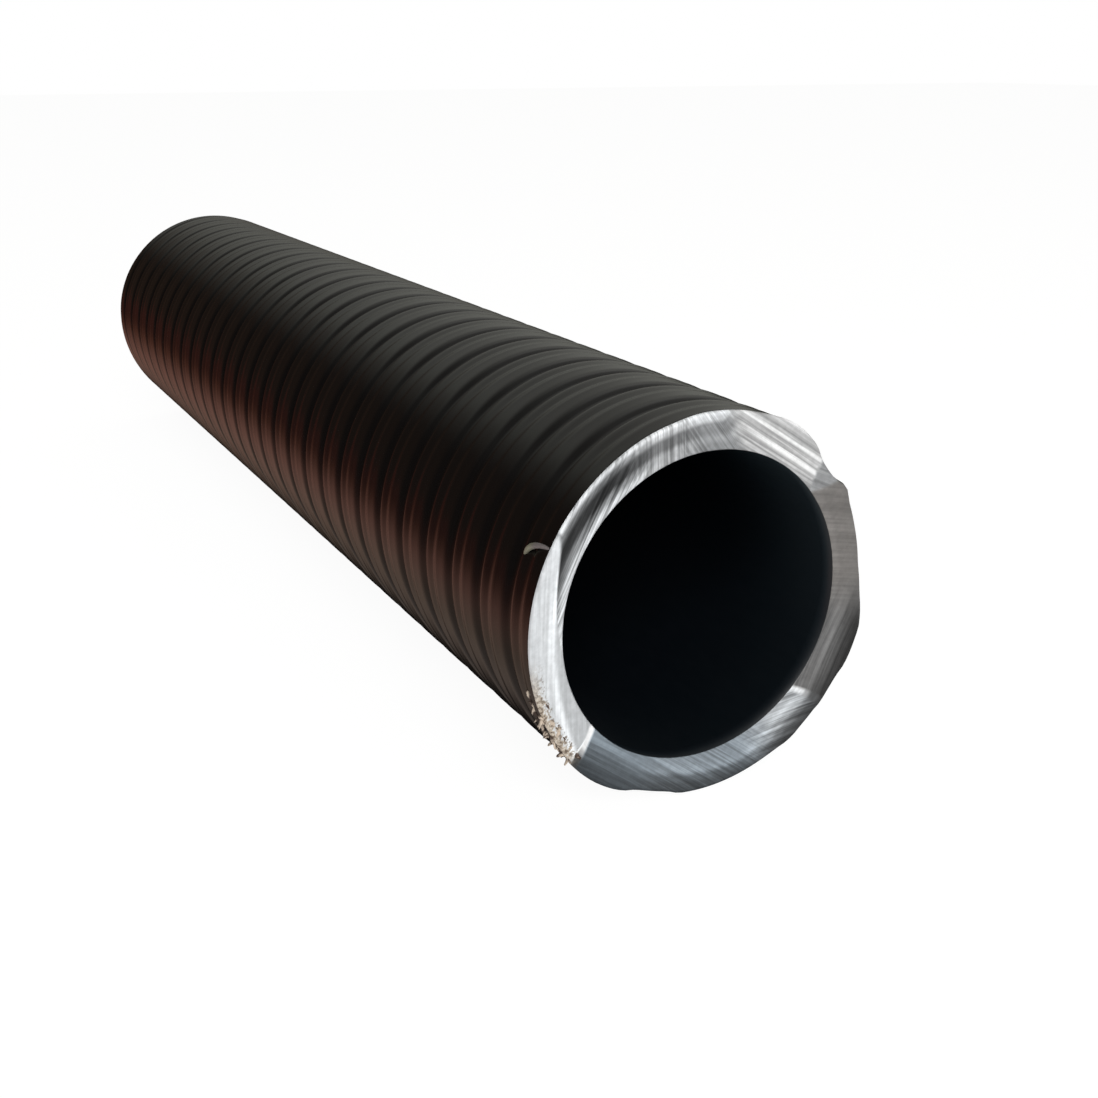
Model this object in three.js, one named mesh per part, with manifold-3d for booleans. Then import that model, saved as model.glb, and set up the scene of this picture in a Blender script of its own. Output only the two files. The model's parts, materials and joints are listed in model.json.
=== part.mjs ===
// A straight offcut of spiral-ribbed flexible vinyl hose, lying on its side.
// Millimetres, +Z up. The hose runs along Y, the hand-cut end faces -Y, and the
// origin is on the ground below the middle of its overall length.

import * as THREE from 'three';
import { mergeVertices } from 'three/addons/utils/BufferGeometryUtils.js';
import Module from 'manifold-3d';

// Driving dimensions

const OUTSIDE_DIAMETER = 48.3;     // over the crest of the main rib
const WALL_THICKNESS = 4.75;       // main crest in to the bore, which is 38.8 across
const LENGTH = 225;                // cut to cut, along the middle of the bore
const RIB_PITCH = 8.3;             // one turn of the single right-handed spiral
const GROOVE_DEPTH = 0.6;          // main crest down to the deep groove
const SHALLOW_GROOVE_DEPTH = 0.4;  // main crest down to the groove between the two ribs
const LESSER_RIB_DROP = 0.2;       // main crest down to the crest of the lesser rib
const FIRST_GROOVE = 7.2;          // from the hand-cut end to the deep groove, along the top
const CUT_SLANT = 1.7;             // degrees that the hand-cut end is out of square

// Where the ribs lie within one pitch, as shares of it, counted from the deep groove

const MAIN_CREST_AT = 0.27;
const SHALLOW_GROOVE_AT = 0.5;
const LESSER_CREST_AT = 0.75;

// Facets round the hose. The flats, and not the corners, lie on the real circles, so
// that the hose rests on a flat at its real height and the bore passes its real size.

const SIDES = 28;
const FLAT_TO_CORNER = 1 / Math.cos(Math.PI / SIDES);
const SIDE_ANGLE = (2 * Math.PI) / SIDES;

const CREST_RADIUS = OUTSIDE_DIAMETER / 2;
const BORE_RADIUS = CREST_RADIUS - WALL_THICKNESS;
const AXIS_HEIGHT = CREST_RADIUS;
const NEAR_CUT = -LENGTH / 2;
const FAR_CUT = LENGTH / 2;
const CUT_SLOPE = Math.tan(THREE.MathUtils.degToRad(CUT_SLANT));
const LONG_SIDE_OVERHANG = CREST_RADIUS * CUT_SLOPE;

// One pitch of the outside: its share of the pitch, and its radius at the middle of a flat

const RIB_PROFILE = [
  { at: 0, radius: CREST_RADIUS - GROOVE_DEPTH },
  { at: MAIN_CREST_AT, radius: CREST_RADIUS },
  { at: SHALLOW_GROOVE_AT, radius: CREST_RADIUS - SHALLOW_GROOVE_DEPTH },
  { at: LESSER_CREST_AT, radius: CREST_RADIUS - LESSER_RIB_DROP },
];

const wasm = await Module();
wasm.setup();

// A closed three.js geometry as a solid that can be joined and cut.
function solidFrom(geometry) {
  const plain = geometry.clone();
  plain.deleteAttribute('normal');
  plain.deleteAttribute('uv');
  const merged = mergeVertices(plain, 1e-4);
  return new wasm.Manifold(new wasm.Mesh({
    numProp: 3,
    vertProperties: Float32Array.from(merged.getAttribute('position').array),
    triVerts: Uint32Array.from(merged.getIndex().array),
  }));
}

// A solid back as a flat-shaded three.js geometry.
function geometryFrom(solid) {
  const mesh = solid.getMesh();
  const geometry = new THREE.BufferGeometry();
  geometry.setAttribute('position', new THREE.BufferAttribute(Float32Array.from(mesh.vertProperties), 3));
  geometry.setIndex(new THREE.BufferAttribute(Uint32Array.from(mesh.triVerts), 1));
  const faceted = geometry.toNonIndexed();
  faceted.computeVertexNormals();
  return faceted;
}

// The ribbed outside as a ribbon that is one pitch wide and winds round the hose. The
// far edge of each turn is the near edge of the next, so the ribs run on as one spiral.
// It starts before the near cut and ends past the far cut, and both ends close on the axis.
function spiralSleeve() {
  const turnsBefore = Math.ceil((FIRST_GROOVE + LONG_SIDE_OVERHANG) / RIB_PITCH) + 2;
  const start = NEAR_CUT + FIRST_GROOVE - turnsBefore * RIB_PITCH;
  const turns = Math.ceil((FAR_CUT - start) / RIB_PITCH) + 2;
  const lastStep = turns * SIDES;
  const points = RIB_PROFILE.length;

  const positions = [];
  for (let step = 0; step <= lastStep; step += 1) {
    const angle = (step + 0.5) * SIDE_ANGLE;
    for (const { at, radius } of RIB_PROFILE) {
      const corner = radius * FLAT_TO_CORNER;
      const along = start + RIB_PITCH * (at + angle / (2 * Math.PI));
      positions.push(corner * Math.sin(angle), along, corner * Math.cos(angle));
    }
  }
  const nearTip = positions.length / 3;
  positions.push(0, start - RIB_PITCH, 0);
  const farTip = nearTip + 1;
  positions.push(0, start + (turns + 1) * RIB_PITCH, 0);

  const vertex = (point, step) => (
    point < points ? step * points + point : (step + SIDES) * points
  );
  const triangles = [];
  const capStep = lastStep - SIDES;
  for (let step = 0; step < capStep; step += 1) {
    for (let point = 0; point < points; point += 1) {
      const a = vertex(point, step);
      const b = vertex(point, step + 1);
      const c = vertex(point + 1, step + 1);
      const d = vertex(point + 1, step);
      triangles.push(a, b, c, a, c, d);
    }
  }

  // Fans close the two ends: the edge of one whole turn, and the step back to its start.
  const fan = (tip, loop) => {
    loop.forEach((from, index) => {
      const to = loop[(index + 1) % loop.length];
      triangles.push(tip, to, from);
    });
  };
  const nearLoop = [];
  for (let step = 0; step < SIDES; step += 1) nearLoop.push(vertex(0, step));
  for (let point = points; point > 0; point -= 1) nearLoop.push(vertex(point, 0));
  fan(nearTip, nearLoop);
  const farLoop = [];
  for (let point = 0; point < points; point += 1) farLoop.push(vertex(point, capStep));
  for (let step = lastStep; step > capStep; step -= 1) farLoop.push(vertex(0, step));
  fan(farTip, farLoop);

  const geometry = new THREE.BufferGeometry();
  geometry.setAttribute('position', new THREE.Float32BufferAttribute(positions, 3));
  geometry.setIndex(triangles);
  return solidFrom(geometry);
}

// The block between the two cuts: square at the far end, slanted at the hand-cut end,
// where the -X side is left the longer.
function betweenCuts() {
  const reach = OUTSIDE_DIAMETER;
  const outline = new THREE.Shape([
    new THREE.Vector2(-reach, NEAR_CUT - reach * CUT_SLOPE),
    new THREE.Vector2(reach, NEAR_CUT + reach * CUT_SLOPE),
    new THREE.Vector2(reach, FAR_CUT),
    new THREE.Vector2(-reach, FAR_CUT),
  ]);
  const block = new THREE.ExtrudeGeometry(outline, { depth: 2 * reach, bevelEnabled: false });
  block.translate(0, 0, -reach);
  return solidFrom(block);
}

// The smooth bore, longer than the hose at both ends.
function bore() {
  const radius = BORE_RADIUS * FLAT_TO_CORNER;
  const plug = new THREE.CylinderGeometry(
    radius, radius, LENGTH + 2 * OUTSIDE_DIAMETER, SIDES, 1, false, SIDE_ANGLE / 2,
  );
  return solidFrom(plug);
}

const blackVinyl = new THREE.MeshStandardMaterial({
  color: new THREE.Color(0.012, 0.012, 0.014),
  roughness: 0.32,
  metalness: 0,
});

const hose = new THREE.Mesh(
  geometryFrom(spiralSleeve().intersect(betweenCuts()).subtract(bore())),
  blackVinyl,
);
hose.name = 'ribbed_hose';
hose.position.set(0, LONG_SIDE_OVERHANG / 2, AXIS_HEIGHT);

const part = new THREE.Group();
part.add(hose);

export default part;
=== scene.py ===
# %% [markdown]
# # A spiral-ribbed black vinyl hose
# This lesson dresses one offcut of flexible vinyl hose. The real one was extruded in one piece: a
# smooth bore, a wall about a tenth of the diameter thick, and a double rib that winds round the
# outside as one long screw thread. Someone cut one end off by hand with a knife, in a dozen strokes.
#
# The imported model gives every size. It is loaded first and stays as it is, and what this lesson
# makes stands in its place. The hose lies along Y with its hand-cut end towards -Y, and Z is up.

# %% Load the frame
import json
import math

import bmesh
import bpy
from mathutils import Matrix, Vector


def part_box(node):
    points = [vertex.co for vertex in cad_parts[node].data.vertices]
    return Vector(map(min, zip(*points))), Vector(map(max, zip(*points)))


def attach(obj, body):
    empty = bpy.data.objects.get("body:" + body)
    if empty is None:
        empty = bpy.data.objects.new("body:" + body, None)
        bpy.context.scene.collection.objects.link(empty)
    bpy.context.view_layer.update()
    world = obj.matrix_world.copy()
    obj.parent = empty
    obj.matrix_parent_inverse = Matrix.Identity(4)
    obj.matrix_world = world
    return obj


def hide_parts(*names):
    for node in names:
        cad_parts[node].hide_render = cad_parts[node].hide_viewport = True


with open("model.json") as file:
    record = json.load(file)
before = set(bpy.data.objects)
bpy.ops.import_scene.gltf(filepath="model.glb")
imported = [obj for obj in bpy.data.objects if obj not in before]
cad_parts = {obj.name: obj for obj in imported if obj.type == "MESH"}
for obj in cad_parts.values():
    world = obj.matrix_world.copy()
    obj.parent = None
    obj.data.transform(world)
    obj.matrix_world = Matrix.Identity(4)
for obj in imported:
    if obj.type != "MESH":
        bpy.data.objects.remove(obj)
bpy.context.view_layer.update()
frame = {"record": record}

# %% [markdown]
# ## Sizes
# A piece that replaces another has to fit exactly the same place. So the radius, the height and both
# cuts are read from the model, and only the rib's own section is written here. All sizes in
# the node trees are millimetres, because a wall of 4.75 is easier to think about than 0.00475.

# %% Sizes from the frame
MM = 0.001
low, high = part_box("ribbed_hose")
mounts = {mount["name"]: mount for mount in frame["record"]["mounts"]}
cut_point = mounts["hand_cut_end"]["pos_m"]
cut_axis = mounts["hand_cut_end"]["axis"]

OUTSIDE_RADIUS = (high.x - low.x) / 2 / MM
AXIS_HEIGHT = (high.z + low.z) / 2 / MM
WALL = 4.75
BORE_RADIUS = OUTSIDE_RADIUS - WALL
NEAR_CUT = cut_point[1] / MM
FAR_CUT = high.y / MM
CUT_SLOPE = -cut_axis[0] / cut_axis[1]
print(f"outside radius {OUTSIDE_RADIUS:.2f}, bore radius {BORE_RADIUS:.2f}, axis {AXIS_HEIGHT:.2f} up")
print(f"cuts at {NEAR_CUT:.2f} and {FAR_CUT:.2f}, the near one {CUT_SLOPE:.4f} out of square")

# %% The rib's own sizes
RIB_PITCH = 8.3
FIRST_GROOVE = 7.2
GROOVE_DEPTH = 0.8
GROOVE_START = NEAR_CUT + FIRST_GROOVE

# One pitch of the double rib, from one deep groove to the next: the share of the pitch, and the
# height as a share of the groove's depth. Both ribs lean, gentle towards the cut and steep behind.
RIB_SECTION = [
    (0.00, 0.25),
    (0.04, 0.52),
    (0.08, 0.70),
    (0.13, 0.79),
    (0.19, 0.83),
    (0.27, 0.87),
    (0.35, 0.94),
    (0.41, 1.00),
    (0.455, 0.91),
    (0.50, 0.72),
    (0.56, 0.79),
    (0.64, 0.89),
    (0.71, 1.00),
    (0.76, 0.96),
    (0.81, 0.72),
    (0.86, 0.22),
    (0.91, 0.08),
    (0.96, 0.02),
    (1.00, 0.25),
]
print(f"the rib's pitch is {RIB_PITCH} and its groove {GROOVE_DEPTH} deep")

# %% [markdown]
# ## The camera
# The camera comes before the looks, so that every later choice is made in the photo's own view.
# The camera, with a 46 mm lens on a 36 mm sensor, stands close to the cut end, to its left and a
# hand's breadth above it, and looks down along the hose.

# %% Set up the camera
SENSOR = 36.0
LENS = 45.9
CUT_CENTRE = Vector((0.0, NEAR_CUT * MM, AXIS_HEIGHT * MM))
CAMERA_OFFSET = Vector((-0.0870, -0.1293, 0.0625))
CAMERA_FORWARD = Vector((0.4294, 0.8386, -0.3352))

camera_data = bpy.data.cameras.new("camera")
camera_data.sensor_width = SENSOR
camera_data.lens = LENS
camera_data.clip_start = 0.01
camera_data.dof.use_dof = False
camera = bpy.data.objects.new("camera", camera_data)
camera.location = CUT_CENTRE + CAMERA_OFFSET
camera.rotation_euler = CAMERA_FORWARD.to_track_quat("-Z", "Y").to_euler()
bpy.context.scene.collection.objects.link(camera)
bpy.context.scene.camera = camera
bpy.context.scene.view_settings.view_transform = "Standard"
print("camera at", tuple(round(value, 4) for value in camera.location))

# %% [markdown]
# ## Node trees as arithmetic
# Both the hose's shape and its finishes are worked out in node trees. Wiring Math nodes one by one
# is slow to write and worse to read, so a small class stands for a socket. Adding or multiplying two
# of them adds the Math node, and one more method adds any other node. The same class works
# in a geometry tree and in a material, so a rule such as the cut's relief is written only once.

# %% The Wire class
class Wire:
    """A socket in a node tree. Arithmetic on it adds Math nodes to its tree."""

    def __init__(self, tree, socket=None):
        self.tree = tree
        self.socket = socket

    def node(self, kind, settings=None, inputs=None, out=0):
        """Adds any node: its settings first, then values or links for its sockets."""
        made = self.tree.nodes.new(kind)
        for name, value in (settings or {}).items():
            if name == "stops":
                set_stops(made.color_ramp, value)
            elif name in ("points", "lines"):
                set_points(made.mapping, value, name == "lines")
            else:
                setattr(made, name, value)
        for key, value in (inputs or {}).items():
            if isinstance(value, Wire):
                self.tree.links.new(value.socket, made.inputs[key])
            else:
                made.inputs[key].default_value = value
        return Wire(self.tree, made.outputs[out])

    def other(self, name):
        """Another output of the same node."""
        return Wire(self.tree, self.socket.node.outputs[name])

    def math(self, operation, *values):
        return self.node("ShaderNodeMath", {"operation": operation}, dict(enumerate(values)))

    def __add__(self, value):
        return self.math("ADD", self, value)

    def __radd__(self, value):
        return self.math("ADD", value, self)

    def __sub__(self, value):
        return self.math("SUBTRACT", self, value)

    def __rsub__(self, value):
        return self.math("SUBTRACT", value, self)

    def __mul__(self, value):
        return self.math("MULTIPLY", self, value)

    def __rmul__(self, value):
        return self.math("MULTIPLY", value, self)

    def __truediv__(self, value):
        return self.math("DIVIDE", self, value)

    def __rtruediv__(self, value):
        return self.math("DIVIDE", value, self)

    def __mod__(self, value):
        return self.math("FLOORED_MODULO", self, value)


def set_stops(ramp, stops):
    """Gives a colour ramp its stops, each a place and a colour."""
    while len(ramp.elements) < len(stops):
        ramp.elements.new(0.5)
    for element, (place, colour) in zip(ramp.elements, stops):
        element.position = place
        element.color = (*colour, 1.0)


def set_points(mapping, points, straight):
    """Gives a float curve its points, joined by straight lines or by a smooth curve."""
    curve = mapping.curves[0]
    while len(curve.points) < len(points):
        curve.points.new(0.5, 0.5)
    for point, place in zip(curve.points, points):
        point.location = place
        point.handle_type = "VECTOR" if straight else "AUTO_CLAMPED"
    mapping.update()


# %% Shorthands for the rules that follow
def ease(value, start, end):
    """0 before start, 1 after end, and an S-shaped rise between them."""
    places = {"Value": value, "From Min": start, "From Max": end}
    return value.node("ShaderNodeMapRange", {"interpolation_type": "SMOOTHSTEP"}, places)


def blend(start, end, share):
    """start where share is 0, end where it is 1."""
    return start + (end - start) * share


def split(vector):
    """The X, Y and Z of a vector."""
    x = vector.node("ShaderNodeSeparateXYZ", None, {0: vector})
    return x, x.other("Y"), x.other("Z")


def join(tree, x, y, z):
    """A vector made of three values."""
    return tree.node("ShaderNodeCombineXYZ", None, {0: x, 1: y, 2: z})


def noise(tree, vector, scale, detail=2.0, roughness=0.5):
    """Smooth noise round 0.5, with about one lump in each millimetre at a scale of 1."""
    inputs = {"Vector": vector, "Scale": scale, "Detail": detail, "Roughness": roughness}
    return tree.node("ShaderNodeTexNoise", None, inputs, "Fac")


def mix_colour(share, first, second):
    """The first colour where share is 0, the second where it is 1."""
    return share.node("ShaderNodeMix", {"data_type": "RGBA"}, {0: share, 6: first, 7: second}, 2)


# %% [markdown]
# ## The knife strokes
# The cut end is not one flat plane. The knife went round it in strokes, each of which left a facet
# with its own tilt, its own grain and its own tone. The tone is partly real, because black vinyl
# turns pale where a blade scrapes it, and partly painted reflection and shade: how much light each
# facet catches is painted into its grey. Angles go round the end in degrees, from 0 at the top,
# clockwise as the camera sees it. A stroke starts at its angle, and takes over from the one before
# it within its blur. Its skew is how far that border has moved round by the time it reaches the bore.
#
# The grain is the direction of the blade's fine lines, fine is how many there are in a millimetre,
# depth is how dark they are, and ragged is how far they fray the tones. A chord of 1 lays the tones
# along the grain, and one of 0 round the bore. Blue is how cool the grey is. The lift is the height
# of the outer and inner edge over the cut plane, in millimetres, and the tones are how pale the face
# is from the outer rim in to the bore, at the depths that TONE_AT lists. All of it could be painted,
# but as numbers it serves twice: the same strokes shape the face and colour it.

# %% List the strokes
# Tones: partly the real pale of scraped vinyl, partly painted reflection and shade of each facet's
# light.
STROKES = {
    # The notch's pale inner tones are a painted highlight.
    "notch": dict(
        start=-132.5, blur=1.2, skew=3, grain=-60, fine=1.0, ragged=0.05, depth=0.1, chord=0.0,
        blue=-0.2, lift=(0.45, -0.10), tones=(0.05, 0.07, 0.40, 0.80, 0.90, 0.85),
    ),
    "crescent": dict(
        start=-130, blur=1.6, skew=3, grain=-92, fine=2.0, ragged=0.05, depth=0.16, chord=0.45,
        blue=0.1, lift=(0.80, 0.00), tones=(0.62, 0.66, 0.68, 0.66, 0.92, 0.50),
    ),
    "upper left": dict(
        start=-58, blur=3, skew=-38, grain=-116, fine=2.6, ragged=0.20, depth=0.55, chord=0.0,
        blue=0.1, lift=(0.75, 0.00), tones=(0.75, 0.16, 0.03, 0.030, 0.22, 0.64),
    ),
    "top left": dict(
        start=-27, blur=22, skew=0, grain=-82, fine=2.6, ragged=0.18, depth=0.5, chord=0.0,
        blue=0.0, lift=(0.60, 0.00), tones=(0.85, 0.55, 0.17, 0.17, 0.40, 0.42),
    ),
    "top": dict(
        start=-8, blur=14, skew=0, grain=-52, fine=2.4, ragged=0.15, depth=0.5, chord=0.0,
        blue=0.1, lift=(0.10, 0.05), tones=(0.85, 0.62, 0.23, 0.20, 0.27, 0.20),
    ),
    "upper right": dict(
        start=7, blur=8, skew=6, grain=-33, fine=2.2, ragged=0.12, depth=0.4, chord=0.9,
        blue=-0.2, lift=(-0.10, 0.05), tones=(0.72, 0.40, 0.66, 0.42, 0.64, 0.44),
    ),
    "slip": dict(
        start=46, blur=2, skew=4, grain=-25, fine=1.6, ragged=0.05, depth=0.35, chord=0.0,
        blue=0.0, lift=(0.05, 0.00), tones=(0.26, 0.26, 0.27, 0.27, 0.29, 0.28),
    ),
    "right": dict(
        start=56, blur=2, skew=-5, grain=-11, fine=1.6, ragged=0.05, depth=0.18, chord=0.0,
        blue=-0.9, lift=(0.15, 0.00), tones=(0.13, 0.15, 0.155, 0.155, 0.155, 0.18),
    ),
    "lower right": dict(
        start=97, blur=20, skew=0, grain=-116, fine=2.4, ragged=0.08, depth=0.3, chord=0.0,
        blue=-0.3, lift=(1.05, 0.05), tones=(0.025, 0.04, 0.07, 0.12, 0.16, 0.13),
    ),
    # The step's pale inner tones are a painted highlight.
    "step": dict(
        start=130.5, blur=1.6, skew=3, grain=-130, fine=1.0, ragged=0.05, depth=0.2, chord=0.0,
        blue=0.0, lift=(1.10, 0.10), tones=(0.05, 0.08, 0.10, 0.35, 0.85, 0.80),
    ),
    "bottom right": dict(
        start=133, blur=2, skew=2.5, grain=10, fine=2.6, ragged=0.18, depth=0.5, chord=0.0,
        blue=0.3, lift=(0.90, 0.05), tones=(0.045, 0.07, 0.15, 0.36, 0.52, 0.42),
    ),
    "bottom": dict(
        start=156, blur=22, skew=0, grain=-37, fine=2.2, ragged=0.14, depth=0.4, chord=0.15,
        blue=1.3, lift=(0.90, 0.00), tones=(0.045, 0.05, 0.06, 0.11, 0.32, 0.28),
    ),
    "bottom left": dict(
        start=202, blur=22, skew=0, grain=-37, fine=1.8, ragged=0.10, depth=0.3, chord=0.3,
        blue=1.6, lift=(0.70, 0.00), tones=(0.045, 0.06, 0.09, 0.13, 0.18, 0.22),
    ),
}
TONE_AT = (0.05, 0.20, 0.36, 0.54, 0.72, 0.90)
print(len(STROKES), "strokes:", ", ".join(STROKES))


# %% How far a place belongs to each stroke
def degrees_past(turn, angle):
    """How far a place lies past an angle, from -180 to 180. turn runs from 0 to 1 round the end."""
    return (turn * 360.0 - angle + 180.0) % 360.0 - 180.0


def stroke_shares(turn, inward):
    """How far a place belongs to each stroke. The shares add up to 1."""
    taken = []
    for stroke in STROKES.values():
        past = degrees_past(turn, inward * inward * stroke["skew"] + stroke["start"])
        taken.append(ease(past, -stroke["blur"] / 2, stroke["blur"] / 2))
    following = taken[1:] + taken[:1]
    return [now * (1.0 - after) for now, after in zip(taken, following)]


def by_stroke(shares, key, part=None):
    """A value of the strokes, blended by how far a place belongs to each."""
    total = 0.0
    for share, stroke in zip(shares, STROKES.values()):
        value = stroke[key] if part is None else stroke[key][part]
        total = share * float(value) + total
    return total


def facet_height(turn, inward):
    """How far the cut end stands out over its plane. inward is 0 at the outside and 1 at the bore."""
    shares = stroke_shares(turn, inward)
    return blend(by_stroke(shares, "lift", 0), by_stroke(shares, "lift", 1), inward)


# %% [markdown]
# ## The outline of the cut end
# The knife also changed the outside. It slipped at the upper right and shaved some off, back along
# the hose, and below that it pushed the soft edge outwards. Each point below is an angle and the
# change of the radius there. A float curve joins them, so a few points are enough for it.

# %% List the outline's changes
OUTLINE_FROM = 15
OUTLINE_TO = 240
OUTLINE_REACH = 1.5    # millimetres of radius that the curve's height stands for, up or down
OUTLINE = [
    (15, 0.0), (22, 0.15), (30, 0.35), (38, 0.10), (44, -0.40), (50, -1.0), (55, -0.75), (59, -0.05),
    (61, 0.05), (64, -0.25), (70, -0.30), (78, -0.20), (85, 0.0), (91, 0.35), (97, 0.50),
    (103, 0.70), (110, 0.60), (118, 0.45), (126, 0.0), (134, 0.10), (141, 0.15), (146, 0.30),
    (152, 0.05), (160, 0.0), (180, 0.0), (186, 0.0), (193, -0.40), (201, -0.45), (208, 0.0),
    (214, 0.20), (222, 0.30), (229, 0.25), (236, 0.0), (240, 0.0),
]
SHAVED_LENGTH = 11.0
FLARE_LENGTH = 2.0
changes = [change for angle, change in OUTLINE]
print(f"the knife changed the radius by {min(changes)} to {max(changes)}")


def outline_change(turn, behind):
    """How the knife changed the outside's radius, at a distance behind the cut's edge."""
    span = OUTLINE_TO - OUTLINE_FROM
    points = [((a - OUTLINE_FROM) / span, 0.5 + change / 2 / OUTLINE_REACH) for a, change in OUTLINE]
    place = (turn * 360.0 - OUTLINE_FROM) / span
    place = place.math("MINIMUM", place.math("MAXIMUM", place, 0.0), 1.0)
    curve = turn.node("ShaderNodeFloatCurve", {"points": points}, {"Value": place})
    change = (curve - 0.5) * (2 * OUTLINE_REACH)
    shaved = change.math("MINIMUM", change, 0.0)
    flared = change.math("MAXIMUM", change, 0.0)
    shaved_left = behind.math("MAXIMUM", 1.0 - behind / SHAVED_LENGTH, 0.0)
    flared_left = behind.math("MAXIMUM", 1.0 - behind / FLARE_LENGTH, 0.0)
    return shaved * shaved_left + flared * flared_left


# %% [markdown]
# ## The hose as one Geometry Nodes tree
# Everything about the hose follows a rule: a section that winds round an axis. So a tree builds it,
# and a change of one size rebuilds it. A turned profile would be the obvious way, but the rib is a
# screw thread, and on straight rows its groove would run across the faces and look ragged.
# Instead the outside is a ribbon, one pitch wide, whose rows follow the thread and lie where the
# rib's section bends. Its far edge meets the near edge of the next turn. Rows that pass the cuts are
# pushed back onto them, and merging by distance takes away what that folds flat.

# %% Rows round the hose and along it
STEPS_ROUND = 160
ROWS_A_TURN = len(RIB_SECTION) - 1
TURNS_BEFORE = 2 + math.ceil(FIRST_GROOVE / RIB_PITCH)
TURNS = TURNS_BEFORE + math.ceil((FAR_CUT - GROOVE_START) / RIB_PITCH) + 1
print(TURNS, "turns of", ROWS_A_TURN, "rows, with", STEPS_ROUND, "steps round the hose")


# %% Helpers for a geometry tree
def new_tree(name, sizes):
    """A geometry tree with a named input for each size. Returns it and its wires."""
    tree = bpy.data.node_groups.new(name, "GeometryNodeTree")
    tree.interface.new_socket("Geometry", in_out="OUTPUT", socket_type="NodeSocketGeometry")
    for size, value in sizes.items():
        kinds = {int: "NodeSocketInt", float: "NodeSocketFloat"}
        kind = kinds.get(type(value), "NodeSocketMaterial")
        tree.interface.new_socket(size, in_out="INPUT", socket_type=kind)
    inputs = tree.nodes.new("NodeGroupInput")
    return tree, {size: Wire(tree, inputs.outputs[size]) for size in sizes}


def end_tree(tree, geometry):
    """Wires the finished geometry to the tree's output."""
    outlet = tree.nodes.new("NodeGroupOutput")
    tree.links.new(geometry.socket, outlet.inputs[0])


def build_object(name, tree, sizes):
    """Runs a tree on an empty object and keeps its result as a plain mesh."""
    made = bpy.data.objects.new(name, bpy.data.meshes.new(name))
    bpy.context.scene.collection.objects.link(made)
    modifier = made.modifiers.new("build", "NODES")
    modifier.node_group = tree
    for item in tree.interface.items_tree:
        if item.in_out == "INPUT":
            modifier[item.identifier] = sizes[item.name]
    evaluated = made.evaluated_get(bpy.context.evaluated_depsgraph_get())
    mesh = bpy.data.meshes.new_from_object(evaluated)
    made.modifiers.remove(modifier)
    made.data = mesh
    mesh.name = name
    print(name, "has", sum(len(face.vertices) - 2 for face in mesh.polygons), "triangles")
    return made


# %% One skin of the hose
def skin(tree, across, number, rule, flip):
    """A grid that is bent into one skin of the hose. rule gives its radius and its place along Y."""
    steps = {"Size X": 1.0, "Size Y": 1.0, "Vertices X": STEPS_ROUND + 1, "Vertices Y": across + 1}
    grid = tree.node("GeometryNodeMeshGrid", None, steps)
    x, y = split(tree.node("GeometryNodeInputPosition"))[:2]
    turn = x + 0.5
    radius, along = rule(turn, y + 0.5)
    angle = turn * math.tau
    side = radius * angle.math("SINE", angle)
    up = radius * angle.math("COSINE", angle) + AXIS_HEIGHT
    place = join(tree, side * MM, along * MM, up * MM)
    bent = tree.node("GeometryNodeSetPosition", None, {"Geometry": grid, "Position": place})
    if flip:
        bent = tree.node("GeometryNodeFlipFaces", None, {"Mesh": bent})
    store = {"data_type": "INT", "domain": "FACE"}
    named = {"Geometry": bent, "Name": "skin", "Value": number}
    return tree.node("GeometryNodeStoreNamedAttribute", store, named)


# %% The rules that the skins share
DRAGGED_FROM = -140
DRAGGED_TO = 0
EXTRA_ROUND = 0.5    # how much rounder the edge is there, as a share


def rib_radius(sizes, turn, along):
    """The outside's radius at a place on it, from the rib's section."""
    phase = ((along - sizes["Groove Start"]) / sizes["Rib Pitch"] - turn) % 1.0
    share = turn.node("ShaderNodeFloatCurve", {"points": RIB_SECTION}, {"Value": phase})
    return sizes["Outside Radius"] - sizes["Groove Depth"] * (1.0 - share)


def cut_plane(sizes, turn, inward):
    """Where the cut end lies along Y: its slanted plane, less the height of its facets."""
    radius = blend(sizes["Outside Radius"], sizes["Bore Radius"], inward)
    side = radius * turn.math("SINE", turn * math.tau)
    return sizes["Near Cut"] + side * sizes["Cut Slope"] - facet_height(turn, inward)


def edge_round(sizes, turn):
    """How far the cut's outer edge is rounded: more on the left, where the knife dragged it."""
    past = ease(degrees_past(turn, DRAGGED_FROM), 0.0, 12.0)
    before = ease(degrees_past(turn, DRAGGED_TO), 0.0, -20.0)
    return sizes["Edge Round"] * (1.0 + EXTRA_ROUND * past * before)


def cut_edge(sizes, turn):
    """Where the outside ends along Y, and its radius there."""
    along = cut_plane(sizes, turn, turn * 0.0) + edge_round(sizes, turn)
    return along, rib_radius(sizes, turn, along) + outline_change(turn, turn * 0.0)


# %% The rules of the outside and the cut face
ROW_PLACES = [(row / ROWS_A_TURN, point[0]) for row, point in enumerate(RIB_SECTION)]


def outside_rule(sizes):
    """The ribbon that follows the thread, held between the two cuts."""
    def rule(turn, row):
        rows = row * sizes["Turns"]
        whole = rows.math("FLOOR", rows)
        share = rows - whole
        bends = turn.node("ShaderNodeFloatCurve", {"lines": ROW_PLACES}, {"Value": share})
        thread = whole - TURNS_BEFORE + bends + turn
        free = sizes["Groove Start"] + thread * sizes["Rib Pitch"]
        near = cut_edge(sizes, turn)[0]
        after = free.math("MAXIMUM", free, near)
        along = free.math("MINIMUM", after, sizes["Far Cut"] - sizes["Edge Round"])
        return rib_radius(sizes, turn, along) + outline_change(turn, along - near), along
    return rule


EDGE_SHARE = 0.16    # share of a cut face's rings that round its outer edge


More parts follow.
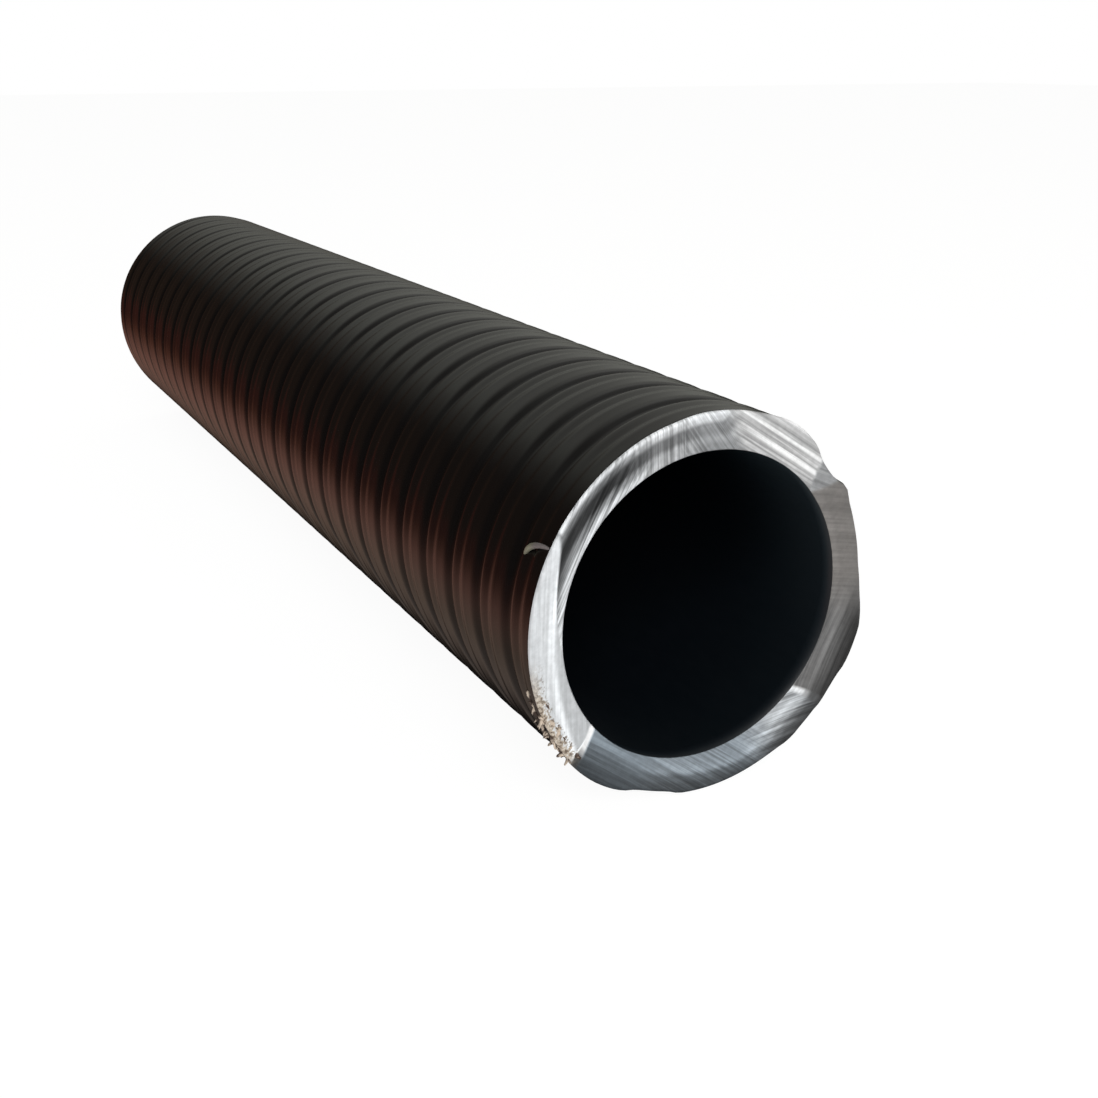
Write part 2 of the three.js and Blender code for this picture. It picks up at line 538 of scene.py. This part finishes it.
def face_ring(sizes, ring, outer, round_size):
    """A ring's radius, how far its part of the rounded edge lies back, and its share of the flat."""
    bend = ring.math("MINIMUM", ring / EDGE_SHARE, 1.0) * (math.pi / 2)
    flat = ring.math("MAXIMUM", (ring - EDGE_SHARE) / (1 - EDGE_SHARE), 0.0)
    edge = outer - round_size * (1.0 - bend.math("COSINE", bend))
    back = round_size * (1.0 - bend.math("SINE", bend))
    return blend(edge, sizes["Bore Radius"] + 0.0, flat), back, flat


def cut_face_rule(sizes):
    """Rings from the outside in to the bore, the first of them round the edge."""
    def rule(turn, ring):
        outer = cut_edge(sizes, turn)[1]
        radius, back, flat = face_ring(sizes, ring, outer, edge_round(sizes, turn))
        return radius, cut_plane(sizes, turn, flat) + back
    return rule


# %% The rules of the bore and the far face
def bore_rule(sizes):
    """Rows through the bore, closer together near the hand-cut end."""
    def rule(turn, row):
        near = cut_plane(sizes, turn, turn * 0.0 + 1.0)
        return sizes["Bore Radius"] + turn * 0.0, blend(near, sizes["Far Cut"], row * row)
    return rule


def far_face_rule(sizes):
    """The same rings as on the cut face, on a square and even end."""
    def rule(turn, ring):
        outer = rib_radius(sizes, turn, sizes["Far Cut"] - sizes["Edge Round"])
        radius, back = face_ring(sizes, ring, outer, sizes["Edge Round"])[:2]
        return radius, sizes["Far Cut"] - back
    return rule


# %% [markdown]
# ## Finishes
# Four finishes share the one piece: the glossy outside, the duller bore, the scraped cut end and the
# plain far end. Pictures could be wrapped round the hose instead, but rules on the hose's own
# coordinates, in millimetres along it and in turns round it, have no seam and fit at any size.

# %% Helpers for the finishes
BLACK = (0.0, 0.0, 0.0, 1.0)
WHITE = (1.0, 1.0, 1.0, 1.0)
PLAIN_BLACK = (0.012, 0.012, 0.014)


def new_finish(name, roughness, base=PLAIN_BLACK):
    """A material with one Principled shader. Returns it, the shader and a first wire."""
    material = bpy.data.materials.new(name)
    material.use_nodes = True
    tree = material.node_tree
    shader = tree.nodes["Principled BSDF"]
    shader.inputs["Base Color"].default_value = (*base, 1.0)
    shader.inputs["Roughness"].default_value = roughness
    return material, shader, Wire(tree)


def feed(shader, name, wire):
    """Wires a value into one of the shader's sockets."""
    wire.tree.links.new(wire.socket, shader.inputs[name])


def hose_coordinates(tree):
    """Millimetres across, along and up from the axis, and the turn and radius round it."""
    place = tree.node("ShaderNodeTexCoord", None, None, "Object")
    scaled = tree.node("ShaderNodeVectorMath", {"operation": "SCALE"}, {0: place, "Scale": 1 / MM})
    x, y, z = split(scaled)
    up = z - AXIS_HEIGHT
    turn = (x.math("ARCTAN2", x, up) / math.tau) % 1.0
    radius = x.math("SQRT", x * x + up * up)
    return x, y, up, turn, radius


# %% [markdown]
# ## The glossy outside
# Glossy black vinyl has next to no colour of its own, and what shows its shape is what it mirrors.
# So the base is almost black, and the work is in the roughness. The die that the hose came out of
# left faint lines along the rib. Noise gives them, once its space is stretched along the thread: it
# changes fast across the rib and slowly round the hose.

# %% The outside's finish
GLOSSY_BLACK = (0.0045, 0.004, 0.004)
LINES_ACROSS = 14.0    # die lines in one pitch
LINES_ROUND = 5.0      # changes along each line in one turn


def outside_finish():
    """Nearly a black mirror, with faint lines along the rib."""
    material, shader, tree = new_finish("glossy_black_vinyl", 0.2, GLOSSY_BLACK)
    shader.inputs["IOR"].default_value = 1.5
    x, y, up, turn = hose_coordinates(tree)[:4]
    phase = (y - GROOVE_START) / RIB_PITCH - turn
    thread = join(tree, phase * LINES_ACROSS, turn * LINES_ROUND, 0.0)
    lines = noise(tree, thread, 1.0, 3.0, 0.6)
    grain = noise(tree, join(tree, x, y, up), 1.6, 3.0, 0.55)
    feed(shader, "Roughness", 0.12 + 0.14 * lines + 0.05 * grain)
    height = lines * 0.6 + grain * 0.4
    bump = {"Strength": 0.25, "Distance": 0.00003, "Height": height}
    feed(shader, "Normal", tree.node("ShaderNodeBump", None, bump))
    return material


# %% [markdown]
# ## The scraped cut end, with painted sheen
# A blade leaves fine parallel lines, and black vinyl turns grey to nearly white where it is
# scraped. The tones also carry painted reflection and shade, the light that each facet catches.
# Every stroke has its own direction, so each gets its own noise, stretched along its grain. The
# tones run from the rim to the bore, and the lines fray them where they meet. Where the last stroke
# broke out at the lower left, pale filler shows in torn patches.

# %% The fine lines of one stroke
LINE_STRETCH = 0.05    # a line changes along itself this many times in a millimetre


def stripes(tree, x, up, inward, stroke):
    """The fine parallel lines of one stroke, and how far in a place lies by that stroke's tones."""
    slope = math.radians(stroke["grain"])
    across = up * math.cos(slope) - x * math.sin(slope)
    length = x * math.cos(slope) + up * math.sin(slope)
    place = join(tree, across * stroke["fine"], length * LINE_STRETCH, stroke["start"] * 0.1)
    lines = noise(tree, place, 1.0, 3.0, 0.6)
    chord = (OUTSIDE_RADIUS - across.math("ABSOLUTE", across)) / WALL
    depth = blend(inward, chord, stroke["chord"]) + (lines - 0.5) * stroke["ragged"]
    return lines, depth


# %% The cut end's finish
WARM_TINT = (1.07, 1.0, 0.94, 1.0)
COOL_TINT = (0.84, 1.0, 1.14, 1.0)
TORN_DARK = (0.16, 0.12, 0.09, 1.0)
TORN_PALE = (0.62, 0.54, 0.44, 1.0)
TORN_FROM = -132
TORN_TO = -104


def cut_finish():
    """Each stroke's tones, with painted facet light, and lines, blended where one stroke gives way to
    the next.
    """
    material, shader, tree = new_finish("scraped_and_sheen_cut_vinyl", 0.42)
    shader.inputs["IOR"].default_value = 1.45
    x, y, up, turn, radius = hose_coordinates(tree)
    inward = (OUTSIDE_RADIUS - radius) / WALL
    shares = stroke_shares(turn, inward)
    lines = 0.0
    depth = 0.0
    for share, stroke in zip(shares, STROKES.values()):
        own_lines, own_depth = stripes(tree, x, up, inward, stroke)
        lines = share * own_lines + lines
        depth = share * own_depth + depth
    # Painted reflection and shade: the tones give each facet the light it catches as well as its
    # scraped pale.
    tones = [by_stroke(shares, "tones", part) for part in range(len(TONE_AT))]
    tone = tones[0]
    for part in range(1, len(TONE_AT)):
        tone = blend(tone, tones[part], ease(depth, TONE_AT[part - 1], TONE_AT[part]))
    contrast = ease(lines, 0.30, 0.70) * 2.0 - 1.0
    mottle = noise(tree, join(tree, x, y, up), 1.3, 3.0, 0.6) * 0.5 + 0.75
    grey = tone * (contrast * by_stroke(shares, "depth") + 1.0) * mottle
    cool = by_stroke(shares, "blue") * 0.4 + 0.4
    tint = mix_colour(cool, WARM_TINT, COOL_TINT)
    scrape_and_sheen = mix_colour(grey, BLACK, tint)
    rag = noise(tree, join(tree, x, y, up), 2.2, 3.0, 0.7)
    side = ease(degrees_past(turn, TORN_FROM), 0.0, 5.0) * ease(degrees_past(turn, TORN_TO), 12.0, -4.0)
    torn = ease(inward + (rag - 0.5) * 1.1, 0.30, 0.14) * side
    fibre = mix_colour(ease(rag, 0.35, 0.6), TORN_DARK, TORN_PALE)
    feed(shader, "Base Color", mix_colour(torn, scrape_and_sheen, fibre))
    bump = {"Strength": 0.5, "Distance": 0.00008, "Height": lines}
    feed(shader, "Normal", tree.node("ShaderNodeBump", None, bump))
    return material


# %% [markdown]
# ## The bore and the far end
# The bore is smooth but duller than the outside, and the little light that enters it fades fast. Near
# the mouth a painted bluish sheen lightens it, stronger on the upper half. The far end is a plain
# square cut, so one set of parallel lines is enough for it.

# %% The bore's finish
SHEEN_LENGTH = 34.0
# The haze is painted sheen: light near the mouth painted into the bore's colour.
SHEEN_BELOW = 0.12    # how much of the haze the lowest part of the bore keeps
DEEP_BORE = (0.0014, 0.0035, 0.006, 1.0)
PAINTED_MOUTH_SHEEN = (0.017, 0.025, 0.031, 1.0)


def bore_finish():
    """Dull black, with a painted bluish sheen near the mouth, stronger on the upper half."""
    material, shader, tree = new_finish("smooth_bore_vinyl", 0.45)
    x, y, up = hose_coordinates(tree)[:3]
    grain = noise(tree, join(tree, x, y * 0.2, up), 1.2, 2.0)
    # Painted sheen: the bore is lighter and bluer near the mouth, and more so on its upper half.
    mouth = ease(y - NEAR_CUT, SHEEN_LENGTH, 0.0)
    top = ease(up, -BORE_RADIUS, BORE_RADIUS)
    painted_sheen = mouth * mouth * (SHEEN_BELOW + (1 - SHEEN_BELOW) * top)
    feed(shader, "Base Color", mix_colour(painted_sheen, DEEP_BORE, PAINTED_MOUTH_SHEEN))
    feed(shader, "Roughness", 0.40 + 0.12 * grain)
    return material


# %% The far end's finish
FAR_STROKE = dict(start=0, grain=-20, fine=1.4, ragged=0.0, chord=0.0)
FAR_DARK = (0.05, 0.05, 0.052, 1.0)
FAR_PALE = (0.17, 0.17, 0.175, 1.0)


def far_cut_finish():
    """One set of parallel lines over the whole end."""
    material, shader, tree = new_finish("plain_cut_vinyl", 0.45)
    x, y, up, turn, radius = hose_coordinates(tree)
    inward = (OUTSIDE_RADIUS - radius) / WALL
    lines = stripes(tree, x, up, inward, FAR_STROKE)[0]
    feed(shader, "Base Color", mix_colour(ease(lines, 0.35, 0.7), FAR_DARK, FAR_PALE))
    bump = {"Strength": 0.5, "Distance": 0.00006, "Height": lines}
    feed(shader, "Normal", tree.node("ShaderNodeBump", None, bump))
    return material


# %% [markdown]
# ## Building the hose
# The four skins could be four objects, but then each would need the others' sizes. One tree holds
# them all, so a size is set once and the edges meet. Each skin's faces are numbered before the skins
# are joined, and afterwards the number picks the finish.

# %% The tree's sizes
hose_sizes = {
    "Outside Radius": OUTSIDE_RADIUS,
    "Bore Radius": BORE_RADIUS,
    "Near Cut": NEAR_CUT,
    "Far Cut": FAR_CUT,
    "Cut Slope": CUT_SLOPE,
    "Rib Pitch": RIB_PITCH,
    "Groove Start": GROOVE_START,
    "Groove Depth": GROOVE_DEPTH,
    "Edge Round": 0.22,
    "Turns": TURNS,
    "Outside": outside_finish(),
    "Cut End": cut_finish(),
    "Bore": bore_finish(),
    "Far End": far_cut_finish(),
}
hose_tree, sizes = new_tree("ribbed hose", hose_sizes)
print(len(hose_sizes), "inputs:", ", ".join(hose_sizes))

# %% Bend and join the four skins
CUT_RINGS = 26
BORE_ROWS = 10
FAR_RINGS = 10
MERGE_WITHIN = 0.02
start = Wire(hose_tree)
skins = [
    skin(start, TURNS * ROWS_A_TURN, 0, outside_rule(sizes), True),
    skin(start, CUT_RINGS, 1, cut_face_rule(sizes), False),
    skin(start, BORE_ROWS, 2, bore_rule(sizes), False),
    skin(start, FAR_RINGS, 3, far_face_rule(sizes), True),
]
joined = hose_tree.nodes.new("GeometryNodeJoinGeometry")
for wire in reversed(skins):
    hose_tree.links.new(wire.socket, joined.inputs[0])
whole = Wire(hose_tree, joined.outputs[0])
doubles = {"Geometry": whole, "Distance": MERGE_WITHIN * MM}
merged = start.node("GeometryNodeMergeByDistance", None, doubles)
smooth = {"Geometry": merged, "Shade Smooth": True}
shaded = start.node("GeometryNodeSetShadeSmooth", {"domain": "FACE"}, smooth)
real = start.node("GeometryNodeRealizeInstances", None, {"Geometry": shaded})
print(len(hose_tree.nodes), "nodes before the finishes")

# %% Give each skin its finish
skin_number = start.node("GeometryNodeInputNamedAttribute", {"data_type": "INT"}, {"Name": "skin"})
same = {"data_type": "INT", "operation": "EQUAL"}
for number, name in enumerate(("Outside", "Cut End", "Bore", "Far End")):
    chosen = start.node("FunctionNodeCompare", same, {"A": skin_number, "B": number})
    paint = {"Geometry": real, "Selection": chosen, "Material": sizes[name]}
    real = start.node("GeometryNodeSetMaterial", None, paint)
end_tree(hose_tree, real)
hose = build_object("hose", hose_tree, hose_sizes)

# %% Check that the hose is closed
probe = bmesh.new()
probe.from_mesh(hose.data)
open_edges = sum(1 for edge in probe.edges if not edge.is_manifold)
print(f"open or shared edges: {open_edges}, volume: {probe.calc_volume() * 1e6:.1f} cubic centimetres")
probe.free()

# %% [markdown]
# ## What the knife left hanging
# Two small things show that the cut is hand work. Where the last stroke broke out, at the lower
# left, torn fibres of pale filler hang from the edge. Placing a hundred flakes by hand would be slow,
# so they lie on random points along that edge, drawn from a fixed seed. Above them one shaving still
# curls off the outside: a short bent tube, whose two ends lie under the surface, so it is held there.

# %% A place on the outside, and random numbers
def on_outside(tree, angle, behind, height):
    """A place at an angle in degrees, so far behind the cut and so far off the outside."""
    turned = angle * (math.tau / 360.0)
    reach = height + OUTSIDE_RADIUS
    side = reach * turned.math("SINE", turned)
    up = reach * turned.math("COSINE", turned) + AXIS_HEIGHT
    along = side * CUT_SLOPE + behind + NEAR_CUT
    return join(tree, side * MM, along * MM, up * MM)


def random_number(tree, least, most, seed):
    """One random number for each point."""
    limits = {2: least, 3: most, 8: seed}
    return tree.node("FunctionNodeRandomValue", {"data_type": "FLOAT"}, limits, 1)


def random_vector(tree, least, most, seed):
    """Three random numbers for each point."""
    limits = {0: least, 1: most, 8: seed}
    return tree.node("FunctionNodeRandomValue", {"data_type": "FLOAT_VECTOR"}, limits)


def finish_tree(tree, start, geometry, material):
    """Ends a tree: real geometry, shaded smooth, with its material."""
    smooth = {"Geometry": geometry, "Shade Smooth": True}
    shaded = start.node("GeometryNodeSetShadeSmooth", {"domain": "FACE"}, smooth)
    real = start.node("GeometryNodeRealizeInstances", None, {"Geometry": shaded})
    paint = {"Geometry": real, "Material": material}
    end_tree(tree, start.node("GeometryNodeSetMaterial", None, paint))


# %% The sizes and the finish of the torn fibres
FIBRE_DARK = (0.07, 0.045, 0.035, 1.0)
FIBRE_PALE = (0.60, 0.50, 0.40, 1.0)


def fibre_finish():
    """Pale and brown patches."""
    material, shader, tree = new_finish("torn_vinyl", 0.7)
    x, y, up = hose_coordinates(tree)[:3]
    patches = noise(tree, join(tree, x, y, up), 0.9, 2.0)
    feed(shader, "Base Color", mix_colour(ease(patches, 0.42, 0.56), FIBRE_DARK, FIBRE_PALE))
    return material


fibre_sizes = {
    "Count": 100,
    "From": -131.0,
    "To": -105.0,
    "Lowest": -1.3,
    "Highest": 0.1,
    "Front": -0.65,
    "Back": 1.2,
    "Seed": 7,
    "Finish": fibre_finish(),
}
print(fibre_sizes["Count"], "fibres from", fibre_sizes["From"], "to", fibre_sizes["To"], "degrees")

# %% Strew the torn fibres
THINNEST = (0.16 * MM, 0.10 * MM, 0.30 * MM)
THICKEST = (0.45 * MM, 0.22 * MM, 1.15 * MM)
TURNED_LEAST = (-0.9, -0.9, -3.1)
TURNED_MOST = (0.9, 0.9, 3.1)
fibre_tree, sizes = new_tree("torn fibres", fibre_sizes)
start = Wire(fibre_tree)
angle = random_number(start, sizes["From"], sizes["To"], sizes["Seed"])
height = random_number(start, sizes["Lowest"], sizes["Highest"], sizes["Seed"] + 1)
behind = random_number(start, sizes["Front"], sizes["Back"], sizes["Seed"] + 2)
spots = {"Count": sizes["Count"], "Position": on_outside(start, angle, behind, height)}
points = start.node("GeometryNodePoints", None, spots)
ball = start.node("GeometryNodeMeshIcoSphere", None, {"Radius": 1.0, "Subdivisions": 2})
lumps = start.node("ShaderNodeTexNoise", None, {"Scale": 1.7}, "Fac")
outward = {0: start.node("GeometryNodeInputNormal"), "Scale": (lumps - 0.5) * 1.6}
dents = start.node("ShaderNodeVectorMath", {"operation": "SCALE"}, outward)
flake = start.node("GeometryNodeSetPosition", None, {"Geometry": ball, "Offset": dents})
spread = {
    "Points": points,
    "Instance": flake,
    "Rotation": random_vector(start, TURNED_LEAST, TURNED_MOST, sizes["Seed"] + 3),
    "Scale": random_vector(start, THINNEST, THICKEST, sizes["Seed"] + 4),
}
strewn = start.node("GeometryNodeInstanceOnPoints", None, spread)
finish_tree(fibre_tree, start, strewn, sizes["Finish"])
fibres = build_object("torn_fibres", fibre_tree, fibre_sizes)


# %% The sizes and the finish of the curled shaving
CURL_OLIVE = (0.22, 0.215, 0.155, 1.0)
CURL_GREY = (0.14, 0.12, 0.118, 1.0)


def curl_finish():
    """Olive where it lies on the rib, and grey towards the cut."""
    material, shader, tree = new_finish("curled_vinyl", 0.5)
    y = hose_coordinates(tree)[1]
    feed(shader, "Base Color", mix_colour(ease(y - NEAR_CUT, 1.8, 0.4), CURL_OLIVE, CURL_GREY))
    return material


curl_sizes = {
    "Thickness": 0.75,
    "Start Angle": -67.2,
    "End Angle": -62.3,
    "Start Behind": 4.2,
    "End Behind": -0.2,
    "Stand Off": 1.4,
    "Sunk": -0.25,
    "Finish": curl_finish(),
}
print("the curl is", curl_sizes["Thickness"], "thick")

# %% Bend the curled shaving
THINNER_ENDS = 0.6    # the share of the thickness that the ends lose
curl_tree, sizes = new_tree("curled shaving", curl_sizes)
start = Wire(curl_tree)
ends = {
    "Resolution": 14,
    "Start": on_outside(start, sizes["Start Angle"], sizes["Start Behind"], sizes["Sunk"]),
    "Middle": on_outside(start, sizes["End Angle"], sizes["Start Behind"] * 0.4, sizes["Stand Off"]),
    "End": on_outside(start, sizes["End Angle"], sizes["End Behind"], sizes["Sunk"]),
}
path = start.node("GeometryNodeCurveQuadraticBezier", None, ends)
place = start.node("GeometryNodeSplineParameter") * 2.0 - 1.0
thick = (1.0 - place * place * THINNER_ENDS) * sizes["Thickness"] * (MM / 2)
ring = start.node("GeometryNodeCurvePrimitiveCircle", None, {"Resolution": 10, "Radius": 1.0})
tube = {"Curve": path, "Profile Curve": ring, "Scale": thick, "Fill Caps": True}
bent = start.node("GeometryNodeCurveToMesh", None, tube)
finish_tree(curl_tree, start, bent, sizes["Finish"])
curl = build_object("curled_shaving", curl_tree, curl_sizes)

# %% Fix both to the hose
for piece in (fibres, curl):
    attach(piece, "root")
print("torn fibres and curl ride with the hose")

# %% [markdown]
# ## The floor and the light
# The hose lies on plain white. A white floor under lamps would be grey at its far side, so this one
# glows a little and is only darkened where the hose keeps the light off it. It is no part of the
# hose, and the hose doesn't mirror it.
#
# What the hose does mirror is drawn in the world, as a colour for each direction: paler straight
# ahead and overhead, and warm and brown low on the left. Real walls could stand round it, but two
# ramps are quicker to tune, and the camera sees white in their place. Two square lamps light the cut.

# %% The floor
FLOOR_HALF = 3.0
FLOOR_GLOW = 0.95
floor_mesh = bpy.data.meshes.new("floor")
corners = [(-1, -1), (1, -1), (1, 1), (-1, 1)]
floor_mesh.from_pydata([(a * FLOOR_HALF, b * FLOOR_HALF, 0.0) for a, b in corners], [], [(0, 1, 2, 3)])
floor = bpy.data.objects.new("floor", floor_mesh)
bpy.context.scene.collection.objects.link(floor)
floor_material = bpy.data.materials.new("pale_floor")
floor_material.use_nodes = True
floor_tree = floor_material.node_tree
floor_shader = floor_tree.nodes["Principled BSDF"]
floor_shader.inputs["Base Color"].default_value = (0.12, 0.12, 0.12, 1)
floor_shader.inputs["Roughness"].default_value = 1.0
floor_shader.inputs["Specular IOR Level"].default_value = 0.0
floor_shader.inputs["Emission Color"].default_value = (1, 1, 1, 1)
floor_shader.inputs["Emission Strength"].default_value = FLOOR_GLOW
floor_mesh.materials.append(floor_material)
floor.visible_glossy = False
print("floor", 2 * FLOOR_HALF, "metres across")

# %% What the hose mirrors
WALL_STOPS = [
    (0.00, (0.050, 0.030, 0.020)),
    (0.15, (0.045, 0.030, 0.022)),
    (0.25, (0.110, 0.100, 0.085)),
    (0.35, (0.180, 0.170, 0.150)),
    (0.45, (0.350, 0.360, 0.320)),
    (0.55, (0.400, 0.400, 0.370)),
    (0.66, (0.370, 0.370, 0.340)),
    (0.80, (0.380, 0.380, 0.350)),
    (1.00, (0.800, 0.800, 0.760)),
]
FLOOR_STOPS = [
    (0.00, (0.130, 0.035, 0.025)),
    (0.10, (0.085, 0.024, 0.016)),
    (0.17, (0.190, 0.067, 0.040)),
    (0.30, (0.475, 0.225, 0.170)),
    (0.40, (0.470, 0.275, 0.210)),
    (0.50, (0.350, 0.250, 0.190)),
    (0.70, (0.360, 0.290, 0.250)),
]
WALL_LEAN = 0.6        # how much paler the walls are towards the right
BEHIND_SHARE = 0.38    # how much of their light the walls beside and behind the camera keep

world = bpy.data.worlds.new("studio")
world.use_nodes = True
bpy.context.scene.world = world
sky = Wire(world.node_tree)
direction = sky.node("ShaderNodeTexCoord", None, None, "Generated")
east, north, up = split(direction)
lean = up + east * WALL_LEAN
ramp = sky.node("ShaderNodeValToRGB", {"stops": WALL_STOPS}, {"Fac": lean})
ahead = ease(north, 0.1, 0.75) * (1 - BEHIND_SHARE) + BEHIND_SHARE
walls = mix_colour(ahead, BLACK, ramp)
ramp = sky.node("ShaderNodeValToRGB", {"stops": FLOOR_STOPS}, {"Fac": up * -1.0})
ground = mix_colour(ease(east, 0.09, -0.25), BLACK, ramp)
shades = mix_colour(ease(up, 0.03, -0.03), walls, ground)
seen = sky.node("ShaderNodeLightPath", None, None, "Is Camera Ray")
mixed = mix_colour(seen, shades, WHITE)
background = world.node_tree.nodes["Background"]
world.node_tree.links.new(mixed.socket, background.inputs["Color"])
print("the world has", len(world.node_tree.nodes), "nodes")


# %% The lamps
def soft_light(name, place, aim, size, power):
    """A square lamp that shines from place towards aim."""
    data = bpy.data.lights.new(name, "AREA")
    data.size = size
    data.energy = power
    lamp = bpy.data.objects.new(name, data)
    lamp.location = place
    lamp.rotation_euler = (Vector(aim) - Vector(place)).to_track_quat("-Z", "Y").to_euler()
    bpy.context.scene.collection.objects.link(lamp)
    print(name, power, "watts")


soft_light("front_light", (-0.35, -1.1, 0.7), CUT_CENTRE, 0.7, 10.4)
soft_light("right_light", (0.55, -0.75, 0.06), CUT_CENTRE, 0.25, 1.2)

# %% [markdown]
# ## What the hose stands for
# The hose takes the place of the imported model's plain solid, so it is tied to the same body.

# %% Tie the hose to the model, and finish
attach(hose, "root")
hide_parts("ribbed_hose")
